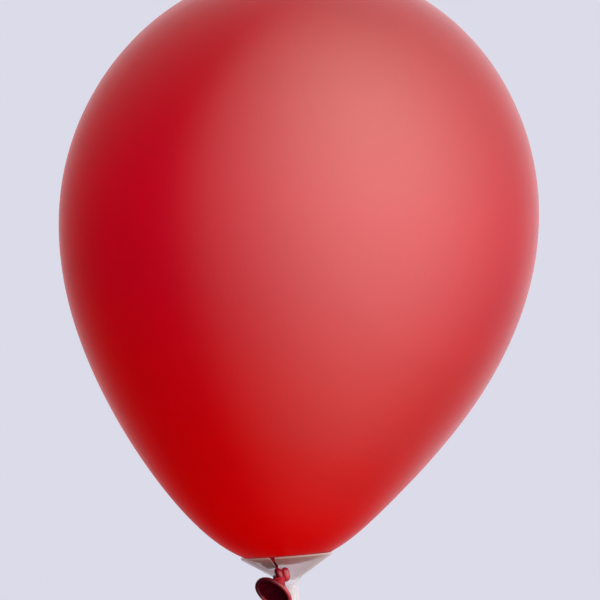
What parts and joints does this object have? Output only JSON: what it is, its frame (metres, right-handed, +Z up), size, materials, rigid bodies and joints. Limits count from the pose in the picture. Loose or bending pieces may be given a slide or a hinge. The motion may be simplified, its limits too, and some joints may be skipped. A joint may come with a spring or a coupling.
{
  "type": "latex balloon",
  "caption": "Inflated teardrop latex balloon, knotted through the slot of a frosted plastic balloon cup on a hollow stick.",
  "frame": {"origin": "middle of the stick's free lower end, where it is held or pushed into a stand", "axes": "+Z up along the stick and the cup; the balloon leans towards +X; the knotted tail hangs on the -Y side"},
  "size_m": [0.2194, 0.219, 0.5822],
  "materials": {
    "latex_stretched": "glossy, stretched thin and slightly see-through",
    "latex_gathered": "satin, unstretched and deeper in colour",
    "cup_plastic": "frosted, moulded",
    "stick_plastic": "milky, extruded"
  },
  "bodies": {
    "stick": {"stick": "stick_plastic"},
    "cup": {"cup": "cup_plastic"},
    "balloon": {"balloon_envelope": "latex_stretched", "balloon_neck": "latex_gathered", "neck_knot": "latex_gathered"},
    "tail": {"mouth_skirt": "latex_gathered", "mouth_bead": "latex_gathered"}
  },
  "joints": [
    {"name": "cup_pull_off", "type": "slide", "parent": "stick", "child": "cup", "axis": [0, 0, 1], "range_m": [0, 0.03]},
    {"name": "balloon_release", "type": "slide", "parent": "cup", "child": "balloon", "axis": [-0.2755, -0.8001, 0.5329], "range_m": [0, 0.025]},
    {"name": "tail_swing", "type": "hinge", "parent": "balloon", "child": "tail", "pos_m": [-0.0031, -0.0153, 0.306], "axis": [0.9455, -0.3256, 0], "range_deg": [-35, 25], "stiffness_Nm_per_rad": 0.0002}
  ]
}
